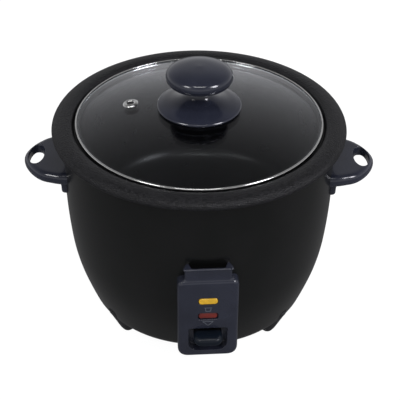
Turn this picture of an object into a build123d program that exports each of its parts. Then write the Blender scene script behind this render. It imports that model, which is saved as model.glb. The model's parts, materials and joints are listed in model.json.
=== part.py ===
"""Automatic rice cooker with a glass lid, side handles, a front switch panel and a lift-out pot.

Millimetres. The vertical axis of the pot is Z, the floor is z = 0, the front is -Y and the two
handles lie on X. The control panel and the switch mechanism behind it stand TURN degrees off the
front, about the pot's axis.
"""
from build123d import *
from math import cos, radians, sin, sqrt
import os

os.makedirs("parts", exist_ok=True)

# ---- outer shell ------------------------------------------------------------------------------
SHEET = 1.2                     # drawn sheet of the shell
SHELL_LOW = 10.3                # underside of the shell's bottom flange
SHELL_TOP = 177.6               # top edge, tucked under the collar
FLANGE_INNER = 64.0             # inner radius of the bottom flange
WALL_POINTS = [(109.8, SHELL_TOP), (109.7, 77.8), (102.6, 42.5), (95.6, 21.6), (78.0, SHELL_LOW)]
WALL_LEAN = 5.5                 # degrees the wall leans out, going down from its top edge

# ---- collar, inner bowl and pot ---------------------------------------------------------------
COLLAR_OUTER = 120.0
COLLAR_INNER = 103.5
COLLAR_CREST = 182.5
LEDGE_TOP = 176.2
LEDGE_INNER = 100.4
BOWL_INNER = 100.2
BOWL_SHEET = 0.8
BOWL_LOW = 60.0
POT_OUTER = 98.5
POT_WALL = 1.5
POT_LOW = 80.0
POT_CORNER = 24.0
POT_RIM_RADIUS = 102.5
POT_RIM_TOP = 178.0
REST_GAP = 0.3                  # air left between pieces that only rest on each other

# ---- lid and knob -----------------------------------------------------------------------------
DOME_RADIUS = 379.0
DOME_TOP = 194.5
GLASS = 3.2
GLASS_EDGE = 100.2
RING_OUTER = 101.2
VENT_X, VENT_Y = -56.2, 7.1
VENT_FLANGE = 6.45
VENT_HOLE = 2.7
KNOB_BASE_RADIUS = 34.0
KNOB_RADIUS = 27.0
KNOB_TOP = 229.5
KNOB_JOIN = 213.4               # where the cap sits on the base's stem
KNOB_BORE = 2.5

# ---- handles ----------------------------------------------------------------------------------
EAR_TIP = 146.2
EAR_TOP = 145.2
EAR_LOW = 135.6
EAR_PLAN = [(110, -33.0), (120, -31.0), (132, -25.8), (142.8, -11.8), (EAR_TIP, 0)]
PAD_FACE = 113.5
PAD_HALF_WIDTH = 28.0
PAD_LOW = 124.4
PAD_TOP = 149.0
SLOT_X = 135.8
SLOT_WIDTH = 12.0
SLOT_LENGTH = 28.0
EAR_SCREW_Y = 17.0
EAR_SCREW_Z = 140.2
EAR_SCREW_REACH = 119.0

# ---- feet and base ----------------------------------------------------------------------------
FOOT_WIDTH = 12.4
FOOT_NEAR = 67.0                # a foot's near end, from the axis
FOOT_FAR_LOW, FOOT_FAR_HIGH = 86.3, 99.4  # its far end on the floor and at its top
FOOT_HEIGHT = 28.0
FOOT_CORNER = 4.6
FOOT_ANGLES = (41, 139, 221, 319)  # round from +X
FOOT_SCREW_RADIUS = 74.0        # distance of a foot's screw from the axis
BASE_RADIUS = 76.5
BASE_SHEET = 1.0
BASE_SCREW_RADIUS = 70.5
VENT_COUNT = 12

# ---- control panel ----------------------------------------------------------------------------
TURN = 4.0                      # degrees the panel stands round from the front
PANEL_FACE = 119.5
PANEL_HALF_WIDTH = 24.0
PANEL_LOW = 29.4
PANEL_SHOULDER = 108.0
PANEL_TOP = 119.0
NECK_HALF_WIDTH = 19.2
NECK_SETBACK = 1.6
ROOF_HALF_WIDTH = 20.5
PANEL_WALL = 2.2
AMBER_Z, AMBER_SIZE = 88.0, (15.5, 6.5)
RED_Z, RED_SIZE = 72.3, (16.0, 7.0)
RECESS_HALF_WIDTH = 15.5
RECESS_LOW, RECESS_HIGH = 36.1, 59.8
RECESS_CORNER = 7.0
RECESS_BACK = 112.0

# ---- switch lever -----------------------------------------------------------------------------
PIVOT_OUT, PIVOT_Z = 62.0, 50.0  # distance of the pivot from the axis, and its height
PIN_RADIUS = 2.0
RUNNING = 0.05                  # radial clearance of the lever on its pin
TAB_HALF_WIDTH = 11.25
TAB_TIP = 129.5
TAB_ROOT = 113.8
TAB_CORNER = 7.0
TAB_LOW, TAB_HIGH = 49.4, 55.6
ARM_HALF_WIDTH = 5.0
ARM_LOW, ARM_HIGH = 50.8, 53.8

# ---- sensor and magnet in the middle of the heating plate -------------------------------------
PLATE_TOP = POT_LOW - REST_GAP
PLATE_LOW = 70.7
PLATE_RADIUS = 72.0
PLATE_HOLE = 17.0
ELEMENT_RADIUS = 50.0
ELEMENT_TUBE = 3.4
ELEMENT_GAP_DEGREES = 40.0
MAGNET_TOP, MAGNET_LOW = 60.7, 54.7

# ---- rear inlet -------------------------------------------------------------------------------
INLET_FACE = 129.5
INLET_Z = 45.0
INLET_HALF = (17.5, 13.0)
SOCKET_SIZE = (24.4, 16.8)
SOCKET_DEPTH = 18.5

turned = Plane.XY.rotated((0, 0, TURN))
outward = -turned.y_dir
rearward = Vector(0, 1, 0)


def facing(distance):
    """Upright plane across the panel's middle, looking out, at a distance from the pot's axis."""
    return Plane(origin=outward * distance, x_dir=turned.x_dir, z_dir=outward)


def side_on():
    """Upright plane through the pot's axis: local x runs out through the panel, local y is up."""
    return Plane(origin=(0, 0, 0), x_dir=outward, z_dir=outward.cross(Vector(0, 0, 1)))


def level(height):
    """Level plane turned with the panel: local -y runs out through the panel."""
    return turned.offset(height)


def rear(distance):
    """Upright plane across the back, looking out to +Y."""
    return Plane(origin=rearward * distance, x_dir=(-1, 0, 0), z_dir=(0, 1, 0))


def end_on(distance):
    """Upright plane looking out to +X, local x along +Y."""
    return Plane(origin=(distance, 0, 0), x_dir=(0, 1, 0), z_dir=(1, 0, 0))


def glass_height(radius, inside=False):
    """Height of the glass dome's outer or inner face at a radius."""
    sphere = DOME_RADIUS - (GLASS if inside else 0)
    return DOME_TOP - DOME_RADIUS + sqrt(sphere**2 - radius**2)


def flange_screws(spots, head, shank, plane, length):
    """A group of round-headed screws: heads on the plane, shanks along its normal."""
    with BuildPart() as screws:
        with BuildSketch(plane):
            with Locations(*spots):
                Circle(head)
        extrude(amount=-head * 0.55)
        with BuildSketch(plane):
            with Locations(*spots):
                Circle(shank)
        extrude(amount=length)
    return screws


def coil(radius, low, high, turns, wire):
    """A compression spring standing on Z."""
    with BuildPart() as spring:
        with BuildLine():
            path = Helix(pitch=(high - low - 2 * wire) / turns, height=high - low - 2 * wire,
                         radius=radius, center=(0, 0, low + wire))
        with BuildSketch(Plane(path @ 0, z_dir=path % 0)):
            Circle(wire)
        sweep(path=path)
    return spring


# The wall's outside profile: arcs that run into each other, from the top edge down.
wall_arcs = []
point = Vector(*WALL_POINTS[0])
heading = Vector(sin(radians(WALL_LEAN)), -cos(radians(WALL_LEAN)))
for target in WALL_POINTS[1:]:
    wall_arcs.append(TangentArc(point, target, tangent=heading))
    point = wall_arcs[-1] @ 1
    heading = wall_arcs[-1] % 1


def wall_line(inset):
    """Draw the wall's profile in the current sketch, moved towards the axis by an inset."""
    for arc in wall_arcs:
        start = arc @ 0 + (arc % 0).rotate(Axis.Z, -90) * inset
        end = arc @ 1 + (arc % 1).rotate(Axis.Z, -90) * inset
        piece = TangentArc(start, end, tangent=arc % 0)
    return piece @ 1


def wall_top(inset):
    """The top end of the wall's profile, moved towards the axis by an inset."""
    return wall_arcs[0] @ 0 + (wall_arcs[0] % 0).rotate(Axis.Z, -90) * inset


# The filled outline of the shell, used to fit the outside pieces to its wall.
with BuildPart() as envelope:
    with BuildSketch(Plane.XZ):
        with BuildLine():
            bottom = wall_line(0)
            Polyline(bottom, (0, SHELL_LOW), (0, SHELL_TOP), wall_top(0))
        make_face()
    revolve(axis=Axis.Z)

with BuildPart() as outer_shell:
    with BuildSketch(Plane.XZ):
        with BuildLine():
            outside_end = wall_line(0)
            inside_end = wall_line(SHEET)
            Line(wall_top(0), wall_top(SHEET))
            Polyline(inside_end, (FLANGE_INNER, SHELL_LOW + SHEET), (FLANGE_INNER, SHELL_LOW), outside_end)
        make_face()
    revolve(axis=Axis.Z)
    # slot for the switch arm, and the passage for the lamp leads above it
    with BuildSketch(facing(PIVOT_OUT)):
        with Locations((0, 48)):
            Rectangle(14, 18)
        with Locations((0, 80)):
            SlotOverall(14, 7)
    extrude(amount=60, mode=Mode.SUBTRACT)
    # rear passage for the inlet's terminals
    with BuildSketch(rear(PIVOT_OUT)):
        with Locations((0, INLET_Z)):
            RectangleRounded(26, 18, 3)
    extrude(amount=60, mode=Mode.SUBTRACT)
    # screw holes: panel, inlet, handles, feet and base
    with BuildSketch(facing(PIVOT_OUT)):
        with Locations((-17, 100), (17, 100), (-17, 64), (17, 64)):
            Circle(1.7)
    extrude(amount=60, mode=Mode.SUBTRACT)
    with BuildSketch(rear(PIVOT_OUT)):
        with Locations((0, INLET_Z + 16.5), (0, INLET_Z - 16.5)):
            Circle(1.7)
    extrude(amount=60, mode=Mode.SUBTRACT)
    with BuildSketch(end_on(0)):
        with Locations((-EAR_SCREW_Y, EAR_SCREW_Z), (EAR_SCREW_Y, EAR_SCREW_Z)):
            Circle(1.9)
    extrude(amount=120, both=True, mode=Mode.SUBTRACT)
    with BuildSketch(Plane.XY):
        for angle in FOOT_ANGLES:
            with PolarLocations(FOOT_SCREW_RADIUS, 1, angle):
                Circle(2.1)
        with PolarLocations(BASE_SCREW_RADIUS, 4, 0):
            Circle(1.6)
    extrude(amount=30, mode=Mode.SUBTRACT)
outer_shell.part.label = "outer_shell"
export_step(outer_shell.part, "parts/outer_shell.step")

# ---- collar: a broad rounded ring with a rolled lip, and the ledge that carries the pot --------
with BuildPart() as top_rim:
    with BuildSketch(Plane.XZ):
        with BuildLine():
            crown = Spline(
                (COLLAR_INNER, 181.0), (109.5, COLLAR_CREST), (116.2, 181.7), (COLLAR_OUTER, 178.2),
                tangents=((0.6, 1), (-0.1, -1)),
            )
            lip = ThreePointArc((COLLAR_OUTER, 178.2), (119.4, 176.3), (117.6, 175.8))
            Polyline(lip @ 1, (116.4, 176.4), (112.4, 178.4), (111.0, 178.4), (110.4, SHELL_TOP + 0.05),
                     (107.2, SHELL_TOP + 0.05), (106.2, 174.8), (LEDGE_INNER, 174.8),
                     (LEDGE_INNER, LEDGE_TOP), (COLLAR_INNER, LEDGE_TOP), crown @ 0)
        make_face()
    revolve(axis=Axis.Z)
top_rim.part.label = "top_rim"
export_step(top_rim.part, "parts/top_rim.step")

# ---- heat shield bowl -------------------------------------------------------------------------
BOWL_OUTER = BOWL_INNER + BOWL_SHEET
BOWL_CORNER = 14.0
with BuildPart() as inner_bowl:
    with BuildSketch(Plane.XZ):
        with BuildLine():
            Polyline((16.8, BOWL_LOW), (BOWL_OUTER - BOWL_CORNER, BOWL_LOW))
            outer_arc = JernArc((BOWL_OUTER - BOWL_CORNER, BOWL_LOW), (1, 0), BOWL_CORNER, 90)
            Polyline(outer_arc @ 1, (BOWL_OUTER, 173.8), (107.0, 173.8), (107.0, 174.7),
                     (BOWL_INNER, 174.7), (BOWL_INNER, BOWL_LOW + BOWL_CORNER))
            inner_arc = JernArc((BOWL_INNER, BOWL_LOW + BOWL_CORNER), (0, -1), BOWL_CORNER - BOWL_SHEET, -90)
            Polyline(inner_arc @ 1, (16.8, BOWL_LOW + BOWL_SHEET), (16.8, BOWL_LOW))
        make_face()
    revolve(axis=Axis.Z)
    with BuildSketch(Plane.XY.offset(BOWL_LOW - 5)):
        with PolarLocations(62, 3, 90):
            Circle(2.1)
        with PolarLocations(ELEMENT_RADIUS, 2, 90 - ELEMENT_GAP_DEGREES / 2, ELEMENT_GAP_DEGREES, endpoint=True):
            Circle(5.4)
    extrude(amount=10, mode=Mode.SUBTRACT)
inner_bowl.part.label = "inner_bowl"
export_step(inner_bowl.part, "parts/inner_bowl.step")

# ---- pot --------------------------------------------------------------------------------------
POT_RIM_LOW = LEDGE_TOP + REST_GAP
POT_INNER = POT_OUTER - POT_WALL
with BuildPart() as inner_pot:
    with BuildSketch(Plane.XZ):
        with BuildLine():
            Line((0, POT_LOW), (POT_OUTER - POT_CORNER, POT_LOW))
            pot_arc = JernArc((POT_OUTER - POT_CORNER, POT_LOW), (1, 0), POT_CORNER, 90)
            Polyline(pot_arc @ 1, (POT_OUTER, POT_RIM_LOW), (POT_RIM_RADIUS, POT_RIM_LOW),
                     (POT_RIM_RADIUS, POT_RIM_TOP), (POT_INNER, POT_RIM_TOP), (POT_INNER, POT_LOW + POT_CORNER))
            pot_bend = JernArc((POT_INNER, POT_LOW + POT_CORNER), (0, -1), POT_CORNER - POT_WALL, -90)
            Polyline(pot_bend @ 1, (0, POT_LOW + POT_WALL), (0, POT_LOW))
        make_face()
    revolve(axis=Axis.Z)
    fillet(inner_pot.edges().filter_by(GeomType.CIRCLE).group_by(Axis.Z)[-1], 0.6)
inner_pot.part.label = "inner_pot"
export_step(inner_pot.part, "parts/inner_pot.step")

# ---- heating plate and its element ------------------------------------------------------------
with BuildPart() as heating_plate:
    with BuildSketch(Plane.XY.offset(PLATE_LOW)):
        Circle(PLATE_RADIUS)
        Circle(PLATE_HOLE, mode=Mode.SUBTRACT)
    extrude(amount=PLATE_TOP - PLATE_LOW)
    fillet(heating_plate.edges().filter_by(GeomType.CIRCLE).group_by(Axis.Z)[-1].sort_by(SortBy.RADIUS)[-1], 3)
    with BuildSketch(Plane.XY.offset(PLATE_LOW)):
        with PolarLocations(62, 3, 90):
            Circle(1.75)
    extrude(amount=6, mode=Mode.SUBTRACT)
heating_plate.part.label = "heating_plate"
export_step(heating_plate.part, "parts/heating_plate.step")

with BuildPart() as heating_element:
    element_z = PLATE_LOW - ELEMENT_TUBE
    sweep_angle = 360 - ELEMENT_GAP_DEGREES
    first = 90 + ELEMENT_GAP_DEGREES / 2
    with BuildSketch(Plane.XZ.rotated((0, 0, first))):
        with Locations((ELEMENT_RADIUS, element_z)):
            Circle(ELEMENT_TUBE)
    revolve(axis=Axis.Z, revolution_arc=sweep_angle)
    with BuildSketch(Plane.XY.offset(54)):
        with PolarLocations(ELEMENT_RADIUS, 2, 90 - ELEMENT_GAP_DEGREES / 2, ELEMENT_GAP_DEGREES, endpoint=True):
            Circle(ELEMENT_TUBE)
    extrude(amount=element_z - 54)
heating_element.part.label = "heating_element"
export_step(heating_element.part, "parts/heating_element.step")

with BuildPart() as plate_spacers:
    with BuildSketch(Plane.XY.offset(BOWL_LOW + BOWL_SHEET)):
        with PolarLocations(62, 3, 90):
            Circle(4)
            Circle(2.1, mode=Mode.SUBTRACT)
    extrude(amount=PLATE_LOW - BOWL_LOW - BOWL_SHEET)
plate_spacers.part.label = "plate_spacers"
export_step(plate_spacers.part, "parts/plate_spacers.step")

plate_spots = [(62 * cos(radians(angle)), 62 * sin(radians(angle))) for angle in (90, 210, 330)]
plate_screws = flange_screws(plate_spots, 3.6, 1.75, Plane.XY.offset(BOWL_LOW), 15)
plate_screws.part.label = "plate_screws"
export_step(plate_screws.part, "parts/plate_screws.step")

# ---- pot sensor -------------------------------------------------------------------------------
with BuildPart() as sensor_housing:
    with BuildSketch(Plane.XY.offset(46)):
        Circle(16.4)
    extrude(amount=23)
    with BuildSketch(Plane.XY.offset(BOWL_LOW - 1.2)):
        Circle(23)
    extrude(amount=1.15)
    with BuildSketch(Plane.XY.offset(47)):
        Circle(15.0)
    extrude(amount=30, mode=Mode.SUBTRACT)
    with BuildSketch(Plane.XY.offset(40)):
        Circle(3.2)
    extrude(amount=10, mode=Mode.SUBTRACT)
sensor_housing.part.label = "sensor_housing"
export_step(sensor_housing.part, "parts/sensor_housing.step")

with BuildPart() as sensor_cap:
    with BuildSketch(Plane.XY.offset(66)):
        Circle(14.5)
    extrude(amount=PLATE_TOP - 66)
    fillet(sensor_cap.edges().group_by(Axis.Z)[-1], 0.8)
    with BuildSketch(Plane.XY.offset(66)):
        Circle(13.2)
    extrude(amount=PLATE_TOP - 66 - 1.4, mode=Mode.SUBTRACT)
sensor_cap.part.label = "sensor_cap"
export_step(sensor_cap.part, "parts/sensor_cap.step")

with BuildPart() as sensor_ferrite:
    with BuildSketch(Plane.XY.offset(74)):
        Circle(12)
    extrude(amount=PLATE_TOP - 1.4 - 74)
sensor_ferrite.part.label = "sensor_ferrite"
export_step(sensor_ferrite.part, "parts/sensor_ferrite.step")

sensor_spring = coil(13.7, 47.05, 65.95, 6, 0.6)
sensor_spring.part.label = "sensor_spring"
export_step(sensor_spring.part, "parts/sensor_spring.step")

release_spring = coil(10.4, MAGNET_LOW + 1.25, 73.95, 6, 0.5)
release_spring.part.label = "release_spring"
export_step(release_spring.part, "parts/release_spring.step")

# The magnet hangs on its rod; the lever's fork lifts the collar.
FORK_TOP = 32.6
ROD_LOW = 26.5
with BuildPart() as magnet:
    with BuildSketch(Plane.XY.offset(MAGNET_LOW)):
        Circle(12)
    extrude(amount=1.2)
    with BuildSketch(Plane.XY.offset(MAGNET_LOW)):
        Circle(9)
    extrude(amount=MAGNET_TOP - MAGNET_LOW)
    with BuildSketch(Plane.XY.offset(ROD_LOW)):
        Circle(2.5)
    extrude(amount=MAGNET_LOW - ROD_LOW)
    with BuildSketch(Plane.XY.offset(FORK_TOP + 0.35)):
        Circle(5)
    extrude(amount=1.6)
magnet.part.label = "magnet"
export_step(magnet.part, "parts/magnet.step")

# ---- switch lever, its bracket and pin --------------------------------------------------------
with BuildPart() as lever_arm:
    with BuildSketch(side_on()):
        with BuildLine():
            Polyline(
                (124, ARM_LOW), (124, ARM_HIGH), (98, ARM_HIGH), (70, 51.6), (54, 50.2), (14, 31.9),
                (10, 31.1), (-9, 31.1), (-9, 29.1), (10, 29.1), (15, 29.3), (54, 47.0), (70, 48.6),
                (98, ARM_LOW), (124, ARM_LOW),
            )
        make_face()
        with Locations((PIVOT_OUT, PIVOT_Z)):
            Circle(5)
        with Locations((0, FORK_TOP - 1.2)):
            Circle(1.2)
    extrude(amount=ARM_HALF_WIDTH, both=True)
    with BuildSketch(side_on()):
        with Locations((PIVOT_OUT, PIVOT_Z)):
            Circle(PIN_RADIUS + RUNNING)
    extrude(amount=20, both=True, mode=Mode.SUBTRACT)
    with BuildSketch(level(20)):
        with Locations((0, 5.5)):
            Rectangle(6.6, 22)
    extrude(amount=30, mode=Mode.SUBTRACT)
lever_arm.part.label = "lever_arm"
export_step(lever_arm.part, "parts/lever_arm.step")

with BuildPart() as lever_tab:
    with BuildSketch(level(TAB_LOW)):
        with Locations((0, -(TAB_ROOT + TAB_TIP) / 2)):
            Rectangle(2 * TAB_HALF_WIDTH, TAB_TIP - TAB_ROOT)
    extrude(amount=TAB_HIGH - TAB_LOW)
    fillet(lever_tab.edges().filter_by(Axis.Z).sort_by(Axis((0, 0, 0), outward))[-2:], TAB_CORNER)
    fillet(lever_tab.faces().sort_by(Axis.Z)[-1].edges(), 1.6)
    fillet(lever_tab.faces().sort_by(Axis.Z)[0].edges(), 1.2)
    add(lever_arm.part, mode=Mode.SUBTRACT)
lever_tab.part.label = "lever_tab"
export_step(lever_tab.part, "parts/lever_tab.step")

CHEEK = 8.8                     # inside face of each bracket cheek, from the middle
with BuildPart() as switch_frame:
    with BuildSketch(side_on()):
        with BuildLine():
            Polyline((34, BOWL_LOW - 0.1), (78, BOWL_LOW - 0.1), (78, 56), (69, 43), (55, 43), (34, 54),
                     (34, BOWL_LOW - 0.1))
        make_face()
    extrude(amount=CHEEK + 1.2, both=True)
    with BuildSketch(side_on()):
        with Locations((55, 40)):
            Rectangle(70, 2 * (BOWL_LOW - 1.3 - 40))
    extrude(amount=CHEEK, both=True, mode=Mode.SUBTRACT)
    with BuildSketch(side_on()):
        with Locations((PIVOT_OUT, PIVOT_Z)):
            Circle(PIN_RADIUS)
    extrude(amount=20, both=True, mode=Mode.SUBTRACT)
switch_frame.part.label = "switch_frame"
export_step(switch_frame.part, "parts/switch_frame.step")

with BuildPart() as pivot_pin:
    with BuildSketch(side_on()):
        with Locations((PIVOT_OUT, PIVOT_Z)):
            Circle(PIN_RADIUS)
    extrude(amount=CHEEK + 2.4, both=True)
pivot_pin.part.label = "pivot_pin"
export_step(pivot_pin.part, "parts/pivot_pin.step")

BUTTON_LOW = 49.0               # just above the arm when the lever is down
with BuildPart() as microswitch:
    with BuildSketch(side_on()):
        with Locations((44.5, 55.1)):
            Rectangle(17, 7)
    extrude(amount=3.2, both=True)
    with BuildSketch(level(BUTTON_LOW)):
        with Locations((0, -42)):
            Circle(1.2)
    extrude(amount=52 - BUTTON_LOW)
    with BuildSketch(level(52)):
        with Locations((-3.2, -38.5), (-3.2, -44.5), (-3.2, -50.5)):
            Rectangle(6, 0.8)
    extrude(amount=4)
microswitch.part.label = "microswitch"
export_step(microswitch.part, "parts/microswitch.step")

# ---- control panel ----------------------------------------------------------------------------
BOSS_SPOTS = [(-17, 100), (17, 100), (-17, 64), (17, 64)]
STAKE_SPOTS = [(-13, 80.2), (13, 80.2)]
PANEL_MIDDLE = (PANEL_LOW + PANEL_SHOULDER) / 2
RECESS_MIDDLE = (RECESS_LOW + RECESS_HIGH) / 2
RECESS_HEIGHT = RECESS_HIGH - RECESS_LOW
BOARD_OUT = 111.4               # back face of the lamp board
with BuildPart() as control_panel:
    with BuildSketch(facing(PANEL_FACE)) as face_outline:
        with Locations((0, PANEL_MIDDLE)):
            Rectangle(2 * PANEL_HALF_WIDTH, PANEL_SHOULDER - PANEL_LOW)
        fillet(face_outline.vertices().sort_by(Axis.Y)[:2], 9)
        fillet(face_outline.vertices().sort_by(Axis.Y)[-2:], 4.6)
    extrude(amount=-40)
    fillet(control_panel.faces().sort_by(Axis((0, 0, 0), outward))[-1].edges(), 2.4)
    with BuildSketch(facing(PANEL_FACE - NECK_SETBACK)):
        with Locations((0, PANEL_TOP - 10)):
            Rectangle(2 * NECK_HALF_WIDTH, 20)
    extrude(amount=-38)
    # the roof: a low hipped slab that runs up to the shell's wall
    with BuildSketch(level(PANEL_TOP - 1.2)):
        with Locations((0, -PANEL_FACE + 20.4)):
            Rectangle(2 * ROOF_HALF_WIDTH, 40)
    extrude(amount=1.2)
    with BuildSketch(level(PANEL_TOP)):
        with Locations((0, -PANEL_FACE + 20.4)):
            Rectangle(2 * ROOF_HALF_WIDTH, 40)
    with BuildSketch(level(PANEL_TOP + 3.6)):
        with Locations((0, -PANEL_FACE + 28.6)):
            Rectangle(29, 40)
    loft()
    # hollow behind the face
    with BuildSketch(facing(PANEL_FACE - PANEL_WALL)) as hollow:
        with Locations((0, PANEL_MIDDLE)):
            Rectangle(2 * (PANEL_HALF_WIDTH - PANEL_WALL), PANEL_SHOULDER - PANEL_LOW - 2 * PANEL_WALL)
        fillet(hollow.vertices().sort_by(Axis.Y)[:2], 7)
        fillet(hollow.vertices().sort_by(Axis.Y)[-2:], 3)
    extrude(amount=-40, mode=Mode.SUBTRACT)
    with BuildSketch(facing(PANEL_FACE - NECK_SETBACK - PANEL_WALL)):
        with Locations((0, PANEL_TOP - 12)):
            Rectangle(2 * (NECK_HALF_WIDTH - PANEL_WALL), 20)
    extrude(amount=-38, mode=Mode.SUBTRACT)
    # tub round the lever, screw bosses, and the stakes that carry the lamp board
    with BuildSketch(facing(RECESS_BACK - 1.6)):
        with Locations((0, RECESS_MIDDLE)):
            Rectangle(2 * RECESS_HALF_WIDTH + 3.6, RECESS_HEIGHT + 3.6)
    extrude(amount=PANEL_FACE - 1 - RECESS_BACK + 1.6)
    with BuildSketch(facing(PANEL_FACE - 1)):
        with Locations(*BOSS_SPOTS):
            Circle(3)
    extrude(amount=-40)
    with BuildSketch(facing(BOARD_OUT - 0.6)):
        with Locations(*STAKE_SPOTS):
            Circle(1.5)
    extrude(amount=PANEL_FACE - 1 - BOARD_OUT)
    with BuildSketch(facing(BOARD_OUT + 1)):
        with Locations(*STAKE_SPOTS):
            Circle(2.4)
    extrude(amount=PANEL_FACE - 2 - BOARD_OUT)
    add(envelope.part, mode=Mode.SUBTRACT)
    # windows, the lever recess with its round lower corners, the arm's slot and the screw bores
    with BuildSketch(facing(PANEL_FACE + 1)):
        with Locations((0, AMBER_Z)):
            RectangleRounded(*AMBER_SIZE, 2.4)
        with Locations((0, RED_Z)):
            RectangleRounded(*RED_SIZE, 2.4)
    extrude(amount=-PANEL_WALL - 1.2, mode=Mode.SUBTRACT)
    with BuildSketch(facing(PANEL_FACE + 1)) as recess:
        with Locations((0, RECESS_MIDDLE)):
            Rectangle(2 * RECESS_HALF_WIDTH, RECESS_HEIGHT)
        fillet(recess.vertices().sort_by(Axis.Y)[:2], RECESS_CORNER)
        fillet(recess.vertices().sort_by(Axis.Y)[-2:], 2)
    extrude(amount=-(PANEL_FACE + 1 - RECESS_BACK), mode=Mode.SUBTRACT)
    with BuildSketch(facing(RECESS_BACK + 1)):
        with Locations((0, 47.3)):
            Rectangle(13, 17)
    extrude(amount=-6, mode=Mode.SUBTRACT)
    with BuildSketch(facing(PANEL_FACE - 3.5)):
        with Locations(*BOSS_SPOTS):
            Circle(1.5)
    extrude(amount=-40, mode=Mode.SUBTRACT)
control_panel.part.label = "control_panel"
export_step(control_panel.part, "parts/control_panel.step")

LENS_BACK = PANEL_FACE - PANEL_WALL - 1.0
LENSES = (("amber_lens", AMBER_Z, AMBER_SIZE, 0.5), ("red_lens", RED_Z, RED_SIZE, -0.9))
for lens_name, lens_z, lens_size, proud in LENSES:
    with BuildPart() as lens:
        with BuildSketch(facing(LENS_BACK)):
            with Locations((0, lens_z)):
                RectangleRounded(lens_size[0] + 2.4, lens_size[1] + 2.4, 2)
        extrude(amount=1.0)
        with BuildSketch(facing(LENS_BACK)):
            with Locations((0, lens_z)):
                RectangleRounded(lens_size[0] - 0.2, lens_size[1] - 0.2, 2.3)
        extrude(amount=PANEL_FACE + proud - LENS_BACK)
        fillet(lens.faces().sort_by(Axis((0, 0, 0), outward))[-1].edges(), 0.45)
    lens.part.label = lens_name
    export_step(lens.part, f"parts/{lens_name}.step")

LAMP_RADIUS = 1.9
LAMP_OUT = BOARD_OUT + 1 + LAMP_RADIUS
with BuildPart() as lamp_board:
    with BuildSketch(facing(BOARD_OUT)):
        with Locations((0, 80.2)):
            Rectangle(32, 26)
        with Locations(*STAKE_SPOTS):
            Circle(1.5, mode=Mode.SUBTRACT)
    extrude(amount=1)
lamp_board.part.label = "lamp_board"
export_step(lamp_board.part, "parts/lamp_board.step")

for lamp_name, lamp_z in (("amber_lamp", AMBER_Z), ("red_lamp", RED_Z)):
    with BuildPart() as lamp:
        with BuildSketch(side_on()):
            with Locations((LAMP_OUT, lamp_z)):
                Circle(LAMP_RADIUS)
        extrude(amount=6, both=True)
        fillet(lamp.edges().filter_by(GeomType.CIRCLE), 1)
    lamp.part.label = lamp_name
    export_step(lamp.part, f"parts/{lamp_name}.step")

with BuildPart() as panel_screws:
    for spot, head_out in zip(BOSS_SPOTS, (106.6, 106.6, 102.6, 102.6)):
        with BuildSketch(facing(head_out)):
            with Locations(spot):
                Circle(2.8)
        extrude(amount=-1.6)
        with BuildSketch(facing(head_out)):
            with Locations(spot):
                Circle(1.5)
        extrude(amount=PANEL_FACE - 4 - head_out)
panel_screws.part.label = "panel_screws"
export_step(panel_screws.part, "parts/panel_screws.step")

# ---- handles ----------------------------------------------------------------------------------
EAR_ROOT_X, EAR_ROOT_Y = EAR_PLAN[0]


def handle(side):
    """One ear with its finger slot and mounting pad; side is 1 for +X and -1 for -X."""
    with BuildPart() as ear:
        with BuildSketch(Plane.XY.offset(EAR_LOW)):
            with BuildLine():
                flank = Spline(*EAR_PLAN, tangents=((1, 0), (0, 1)))
                mirror(flank, about=Plane.XZ)
                Polyline((EAR_ROOT_X, -EAR_ROOT_Y), (EAR_ROOT_X - 20, -EAR_ROOT_Y), (EAR_ROOT_X - 20, EAR_ROOT_Y),
                         (EAR_ROOT_X, EAR_ROOT_Y))
            make_face()
        extrude(amount=EAR_TOP - EAR_LOW)
        rounded = [edge for edge in ear.faces().sort_by(Axis.Z)[-1].edges() if edge.center().X > EAR_ROOT_X + 1]
        fillet(rounded, 3.4)
        rounded = [edge for edge in ear.faces().sort_by(Axis.Z)[0].edges() if edge.center().X > EAR_ROOT_X + 1]
        fillet(rounded, 2.6)
        with BuildSketch(Plane.XY.offset(EAR_LOW - 1)):
            with Locations((SLOT_X, 0)):
                Ellipse(SLOT_WIDTH / 2, SLOT_LENGTH / 2)
        extrude(amount=20, mode=Mode.SUBTRACT)
        with BuildSketch(Plane.XY.offset(PAD_LOW)) as pad:
            with Locations((PAD_FACE - 10, 0)):
                Rectangle(20, 2 * PAD_HALF_WIDTH)
            fillet(pad.vertices().sort_by(Axis.X)[-2:], 3)
        extrude(amount=PAD_TOP - PAD_LOW)
        add(envelope.part, mode=Mode.SUBTRACT)
        with BuildSketch(end_on(0)):
            with Locations((-EAR_SCREW_Y, EAR_SCREW_Z), (EAR_SCREW_Y, EAR_SCREW_Z)):
                Circle(1.5)
        extrude(amount=EAR_SCREW_REACH + 0.5, mode=Mode.SUBTRACT)
        if side < 0:
            mirror(about=Plane.YZ, mode=Mode.REPLACE)
    return ear


for handle_name, side in (("handle_left", -1), ("handle_right", 1)):
    ear = handle(side)
    ear.part.label = handle_name
    export_step(ear.part, f"parts/{handle_name}.step")

with BuildPart() as handle_screws:
    for side in (-1, 1):
        for across in (-EAR_SCREW_Y, EAR_SCREW_Y):
            head_plane = Plane(origin=(side * 108.4, across, EAR_SCREW_Z), z_dir=(side, 0, 0))
            with BuildSketch(head_plane):
                Circle(3)
            extrude(amount=-1.7)
            with BuildSketch(head_plane):
                Circle(1.5)
            extrude(amount=EAR_SCREW_REACH - 108.4)
handle_screws.part.label = "handle_screws"
export_step(handle_screws.part, "parts/handle_screws.step")

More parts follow.
